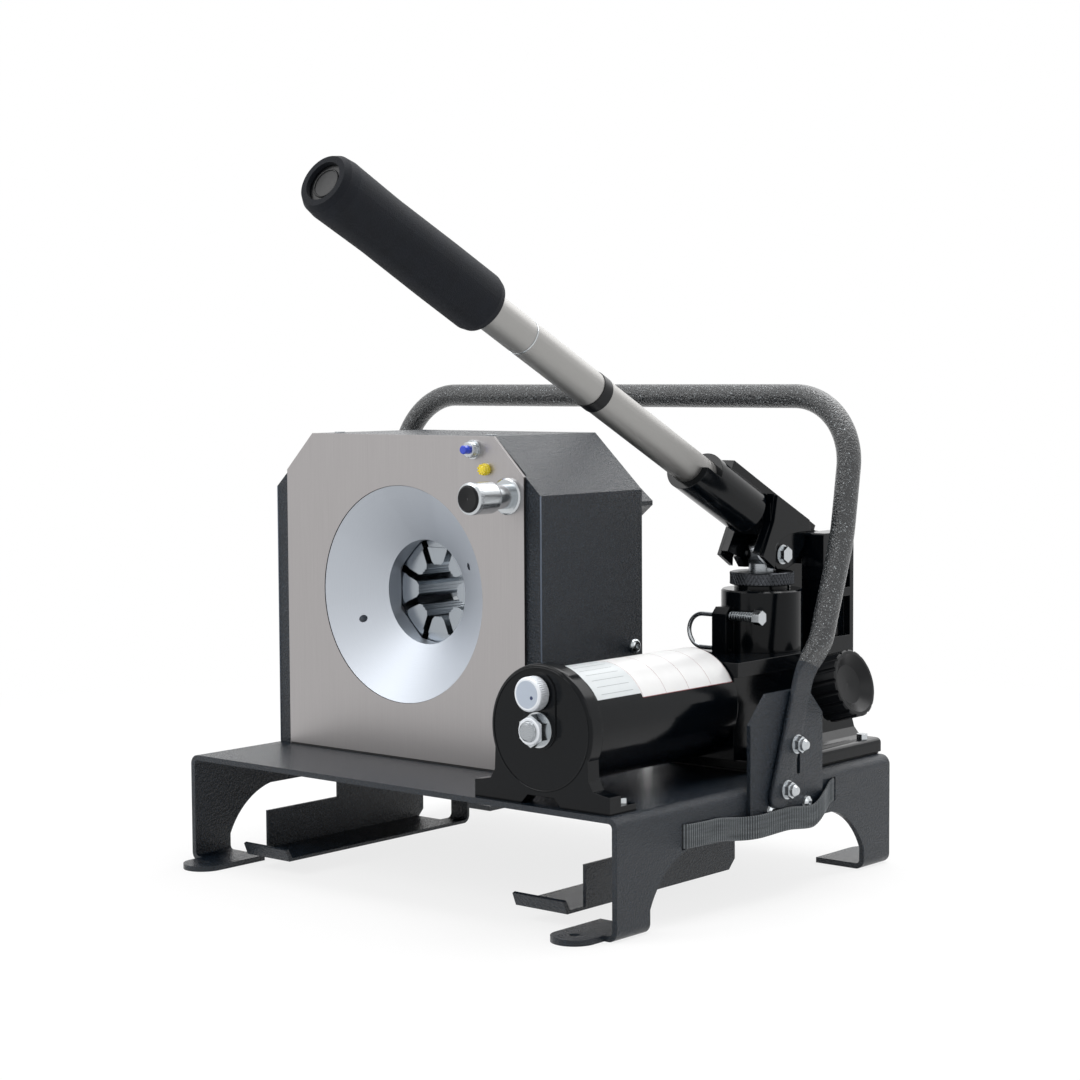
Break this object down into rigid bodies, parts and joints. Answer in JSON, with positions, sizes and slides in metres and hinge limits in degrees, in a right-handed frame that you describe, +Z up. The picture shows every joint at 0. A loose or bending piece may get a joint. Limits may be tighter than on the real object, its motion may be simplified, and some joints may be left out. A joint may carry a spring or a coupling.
{
  "type": "hose crimping machine",
  "caption": "Hand-pumped bench hose crimper: eight-die crimp head in a steel casing, two-part hand pump with long lever, carry handle, pressed stand with die trays.",
  "frame": {"origin": "on the bench, at the middle of the stand's four bolt-down holes", "axes": "+Z up, +Y to the rear along the crimp head's axis, +X to the right towards the hand pump, seen from the front"},
  "size_m": [0.574, 0.691, 0.6243],
  "materials": {
    "hammertone_paint": "gloss",
    "handle_paint": "satin",
    "brushed_panel": "satin",
    "turned_aluminium": "satin",
    "machined_steel": "satin",
    "die_steel": "satin",
    "black_enamel": "gloss",
    "lever_aluminium": "satin",
    "foam_grip": "matte",
    "zinc": "gloss",
    "knob_plastic": "satin",
    "blue_plastic": "gloss",
    "yellow_lens": "gloss",
    "webbing": "matte",
    "seal_rubber": "matte",
    "spring_steel": "satin"
  },
  "bodies": {
    "frame": {"base_stand": "hammertone_paint", "tray_rail_left": "hammertone_paint", "tray_rail_right": "hammertone_paint", "casing_cover": "hammertone_paint", "casing_rear_panel": "hammertone_paint", "casing_screws": "zinc", "front_panel": "brushed_panel", "front_flange": "turned_aluminium", "head_housing": "machined_steel", "head_saddle": "hammertone_paint", "tie_bolts": "zinc", "return_springs": "spring_steel", "micrometer_bezel": "zinc", "micrometer_barrel": "zinc", "limit_switch": "knob_plastic", "switch_housing": "hammertone_paint", "button_bush": "zinc", "lamp_lens": "yellow_lens", "reservoir_tube": "black_enamel", "reservoir_cap": "black_enamel", "tie_rod": "machined_steel", "tie_rod_nut": "zinc", "pump_body": "black_enamel", "pump_cylinder": "black_enamel", "gland_nut": "zinc", "fulcrum_pin": "machined_steel", "pull_pin_spring": "spring_steel", "pump_bolts": "zinc", "pump_gasket": "seal_rubber", "pressure_pipe": "zinc", "pipe_fittings": "zinc", "carry_handle": "handle_paint", "handle_brackets": "hammertone_paint", "handle_fasteners": "zinc", "tie_strap": "webbing"},
    "ram": {"ram_piston": "machined_steel", "piston_seals": "seal_rubber"},
    "die_1": {"master_die_1": "die_steel"},
    "die_2": {"master_die_2": "die_steel"},
    "die_3": {"master_die_3": "die_steel"},
    "die_4": {"master_die_4": "die_steel"},
    "die_5": {"master_die_5": "die_steel"},
    "die_6": {"master_die_6": "die_steel"},
    "die_7": {"master_die_7": "die_steel"},
    "die_8": {"master_die_8": "die_steel"},
    "micrometer_screw": {"micrometer_spindle": "machined_steel"},
    "thimble": {"micrometer_thimble": "zinc", "micrometer_end_plug": "knob_plastic"},
    "test_button": {"test_button": "blue_plastic"},
    "vent_knob": {"vent_knob": "zinc"},
    "release_knob": {"release_knob": "knob_plastic", "release_stem": "zinc"},
    "pull_pin": {"pull_pin": "zinc"},
    "plunger": {"plunger": "machined_steel", "plunger_pin": "zinc"},
    "lever": {"lever_yoke": "black_enamel", "lever_tube": "lever_aluminium", "lever_grip": "foam_grip", "grip_end_plug": "knob_plastic", "lever_band": "knob_plastic"}
  },
  "joints": [
    {"name": "ram_advance", "type": "slide", "parent": "frame", "child": "ram", "axis": [0, -1, 0], "range_m": [0, 0.024], "deforming": ["return_springs"]},
    {"name": "die_1_close", "type": "slide", "parent": "frame", "child": "die_1", "axis": [-0.6, -0.8, 0], "range_m": [0, 0.015]},
    {"name": "die_2_close", "type": "slide", "parent": "frame", "child": "die_2", "axis": [-0.4243, -0.8, -0.4243], "range_m": [0, 0.015]},
    {"name": "die_3_close", "type": "slide", "parent": "frame", "child": "die_3", "axis": [0, -0.8, -0.6], "range_m": [0, 0.015]},
    {"name": "die_4_close", "type": "slide", "parent": "frame", "child": "die_4", "axis": [0.4243, -0.8, -0.4243], "range_m": [0, 0.015]},
    {"name": "die_5_close", "type": "slide", "parent": "frame", "child": "die_5", "axis": [0.6, -0.8, 0], "range_m": [0, 0.015]},
    {"name": "die_6_close", "type": "slide", "parent": "frame", "child": "die_6", "axis": [0.4243, -0.8, 0.4243], "range_m": [0, 0.015]},
    {"name": "die_7_close", "type": "slide", "parent": "frame", "child": "die_7", "axis": [0, -0.8, 0.6], "range_m": [0, 0.015]},
    {"name": "die_8_close", "type": "slide", "parent": "frame", "child": "die_8", "axis": [-0.4243, -0.8, 0.4243], "range_m": [0, 0.015]},
    {"name": "micrometer_feed", "type": "slide", "parent": "frame", "child": "micrometer_screw", "axis": [0, 1, 0], "range_m": [0, 0.005]},
    {"name": "thimble_turn", "type": "hinge", "parent": "micrometer_screw", "child": "thimble", "pos_m": [0.0509, -0.13, 0.3524], "axis": [0, 1, 0], "range_deg": [0, 3600]},
    {"name": "test_button_press", "type": "slide", "parent": "frame", "child": "test_button", "axis": [0, 1, 0], "range_m": [0, 0.0025], "stiffness_N_per_m": 400, "springref_m": -0.002},
    {"name": "vent_knob_turn", "type": "hinge", "parent": "frame", "child": "vent_knob", "pos_m": [0.1715, -0.2006, 0.197], "axis": [0, -1, 0], "range_deg": [0, 360]},
    {"name": "release_knob_turn", "type": "hinge", "parent": "frame", "child": "release_knob", "pos_m": [0.223, 0.135, 0.166], "axis": [0.9613, 0, 0.2756], "range_deg": [0, 360]},
    {"name": "pull_pin_draw", "type": "slide", "parent": "frame", "child": "pull_pin", "axis": [-1, 0, 0], "range_m": [0, 0.01], "stiffness_N_per_m": 500, "springref_m": -0.003, "deforming": ["pull_pin_spring"]},
    {"name": "plunger_stroke", "type": "slide", "parent": "frame", "child": "plunger", "axis": [0, 0, 1], "range_m": [0, 0.0319]},
    {"name": "lever_swing", "type": "hinge", "parent": "plunger", "child": "lever", "pos_m": [0.1735, 0.119, 0.2935], "axis": [-1, 0, 0], "range_deg": [0, 25]}
  ],
  "couplings": [
    {"joint": "die_1_close", "follows": "ram_advance", "ratio": 0.625},
    {"joint": "die_2_close", "follows": "ram_advance", "ratio": 0.625},
    {"joint": "die_3_close", "follows": "ram_advance", "ratio": 0.625},
    {"joint": "die_4_close", "follows": "ram_advance", "ratio": 0.625},
    {"joint": "die_5_close", "follows": "ram_advance", "ratio": 0.625},
    {"joint": "die_6_close", "follows": "ram_advance", "ratio": 0.625},
    {"joint": "die_7_close", "follows": "ram_advance", "ratio": 0.625},
    {"joint": "die_8_close", "follows": "ram_advance", "ratio": 0.625},
    {"joint": "micrometer_feed", "follows": "thimble_turn", "m_per_rad": 0.000079577},
    {"joint": "plunger_stroke", "follows": "lever_swing", "m_per_rad": 0.07263}
  ]
}
